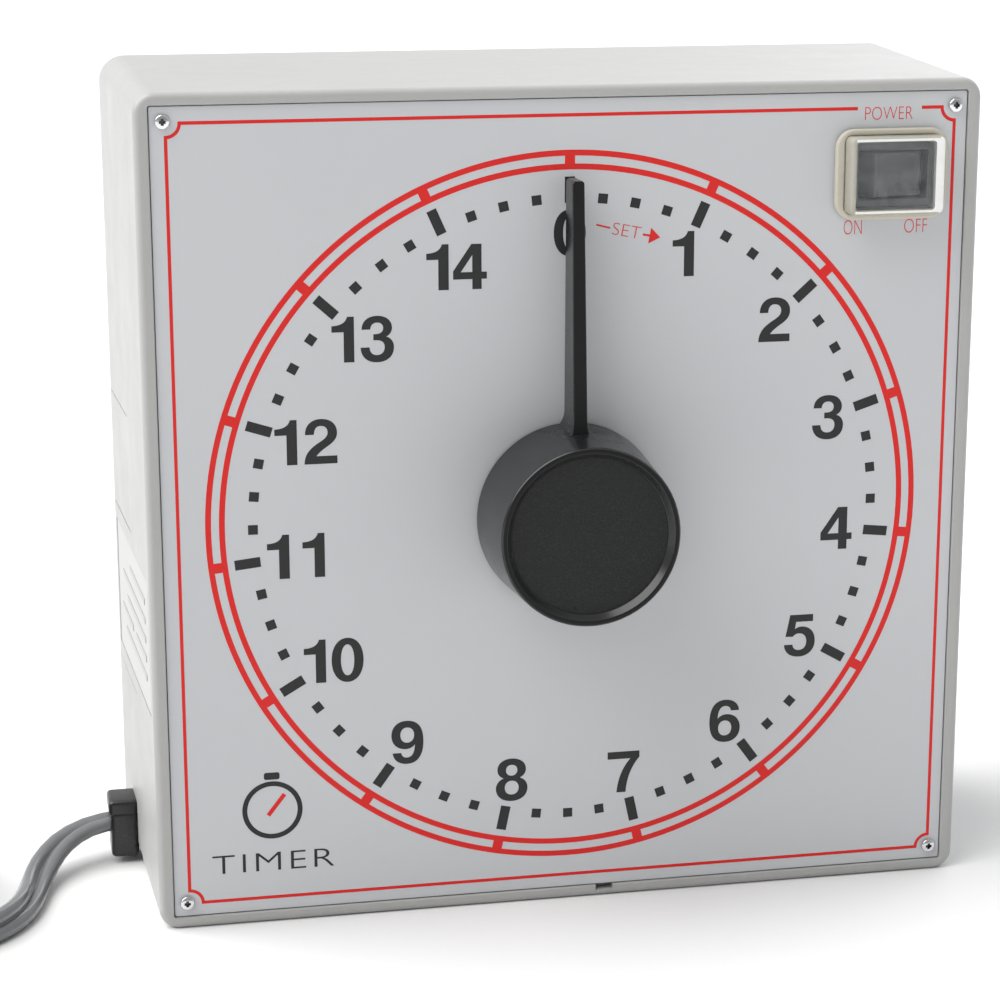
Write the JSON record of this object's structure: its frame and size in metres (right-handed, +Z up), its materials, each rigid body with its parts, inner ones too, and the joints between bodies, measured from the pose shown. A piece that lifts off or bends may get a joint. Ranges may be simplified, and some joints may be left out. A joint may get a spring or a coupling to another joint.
{
  "type": "lab timer",
  "caption": "Square mains-powered bench timer with a round minute dial, a pointer knob, a booted rocker power switch and a coiled power cord.",
  "frame": {"origin": "middle of the object's box on the surface it stands on, the cord and its gland left out", "axes": "+X to the right seen from the front, +Y from the face to the back, +Z up; the dial faces -Y"},
  "size_m": [0.337, 0.1353, 0.1928],
  "materials": {
    "case_plastic": "fine moulded texture, warm light grey",
    "face_film": "satin printed film",
    "label_film": "blank glossy label",
    "aluminium": "plain sheet",
    "black_plastic": "satin black moulding",
    "dark_grey_plastic": "satin dark grey",
    "cream_rubber": "cream moulded rubber",
    "clear_vinyl": "clear soft vinyl",
    "screw_steel": "bright steel",
    "zinc_steel": "zinc-plated steel",
    "brass": "plain brass",
    "nylon": "natural moulded nylon",
    "phenolic": "brown laminate",
    "copper_winding": "enamelled winding",
    "cord_vinyl": "grey moulded vinyl",
    "wire_black": "black insulation",
    "wire_white": "white insulation"
  },
  "bodies": {
    "case": {"housing": "case_plastic", "rear_cover": "case_plastic", "cord_entry_plate": "case_plastic", "outlet_blank_plate": "case_plastic", "dial_overlay": "face_film", "side_label": "label_film", "face_plate": "aluminium", "power_switch": "black_plastic", "strain_relief": "black_plastic", "strain_relief_wedge": "black_plastic", "alarm_switch": "dark_grey_plastic", "switch_boot_frame": "cream_rubber", "switch_boot": "clear_vinyl", "face_screw_1": "screw_steel", "face_screw_2": "screw_steel", "face_screw_3": "screw_steel", "face_screw_4": "screw_steel", "cover_screw_1": "zinc_steel", "cover_screw_2": "zinc_steel", "cover_screw_3": "zinc_steel", "cover_screw_4": "zinc_steel", "movement_front_plate": "zinc_steel", "movement_rear_plate": "zinc_steel", "idler_arbor": "zinc_steel", "motor_can": "zinc_steel", "motor_flange": "zinc_steel", "buzzer_frame": "zinc_steel", "shaft_bushing": "brass", "bushing_nut": "brass", "movement_post_1": "brass", "movement_post_2": "brass", "movement_post_3": "brass", "movement_post_4": "brass", "switch_terminal_1": "brass", "switch_terminal_2": "brass", "plug_blade_1": "brass", "plug_blade_2": "brass", "terminal_block": "nylon", "buzzer_coil": "copper_winding", "power_cord": "cord_vinyl", "power_cord_tail": "cord_vinyl", "cord_coil": "cord_vinyl", "plug_body": "cord_vinyl", "live_wire": "wire_black", "switch_feed_wire": "wire_black", "neutral_wire": "wire_white", "motor_wire": "wire_white"},
    "knob": {"pointer_knob": "black_plastic", "knob_insert": "brass", "knob_set_screw": "screw_steel", "dial_shaft": "zinc_steel", "clutch_collar": "brass", "clutch_spring": "screw_steel", "timing_cam": "phenolic"},
    "dial_gear": {"output_gear": "nylon"},
    "idler": {"idler_gear": "nylon"},
    "motor_output": {"motor_pinion": "zinc_steel"},
    "rocker": {"power_rocker": "dark_grey_plastic"},
    "alarm_lever": {"alarm_switch_lever": "screw_steel"},
    "buzzer_reed": {"buzzer_armature": "screw_steel"}
  },
  "joints": [
    {"name": "knob_turn", "type": "hinge", "parent": "case", "child": "knob", "pos_m": [0, -0.0235, 0.093], "axis": [0, 1, 0], "range_deg": [0, 354]},
    {"name": "dial_gear_turn", "type": "hinge", "parent": "case", "child": "dial_gear", "pos_m": [0, -0.0069, 0.093], "axis": [0, 1, 0], "continuous": true},
    {"name": "idler_turn", "type": "hinge", "parent": "case", "child": "idler", "pos_m": [-0.02369, -0.004, 0.07641], "axis": [0, 1, 0], "continuous": true},
    {"name": "motor_turn", "type": "hinge", "parent": "case", "child": "motor_output", "pos_m": [-0.02537, -0.0005, 0.05717], "axis": [0, 1, 0], "continuous": true},
    {"name": "rocker_tilt", "type": "hinge", "parent": "case", "child": "rocker", "pos_m": [0.0739, -0.022, 0.1684], "axis": [0, 0, -1], "range_deg": [0, 20]},
    {"name": "alarm_lever_swing", "type": "hinge", "parent": "case", "child": "alarm_lever", "pos_m": [-0.0085, 0.0115, 0.1116], "axis": [0, 1, 0], "range_deg": [0, 7], "stiffness_Nm_per_rad": 0.02},
    {"name": "buzzer_reed_swing", "type": "hinge", "parent": "case", "child": "buzzer_reed", "pos_m": [0.0439, 0.0213, 0.076], "axis": [0, 0, 1], "range_deg": [0, 1.5], "stiffness_Nm_per_rad": 0.05}
  ],
  "couplings": [
    {"joint": "idler_turn", "follows": "motor_turn", "ratio": -0.33333},
    {"joint": "dial_gear_turn", "follows": "motor_turn", "ratio": 0.066667}
  ]
}
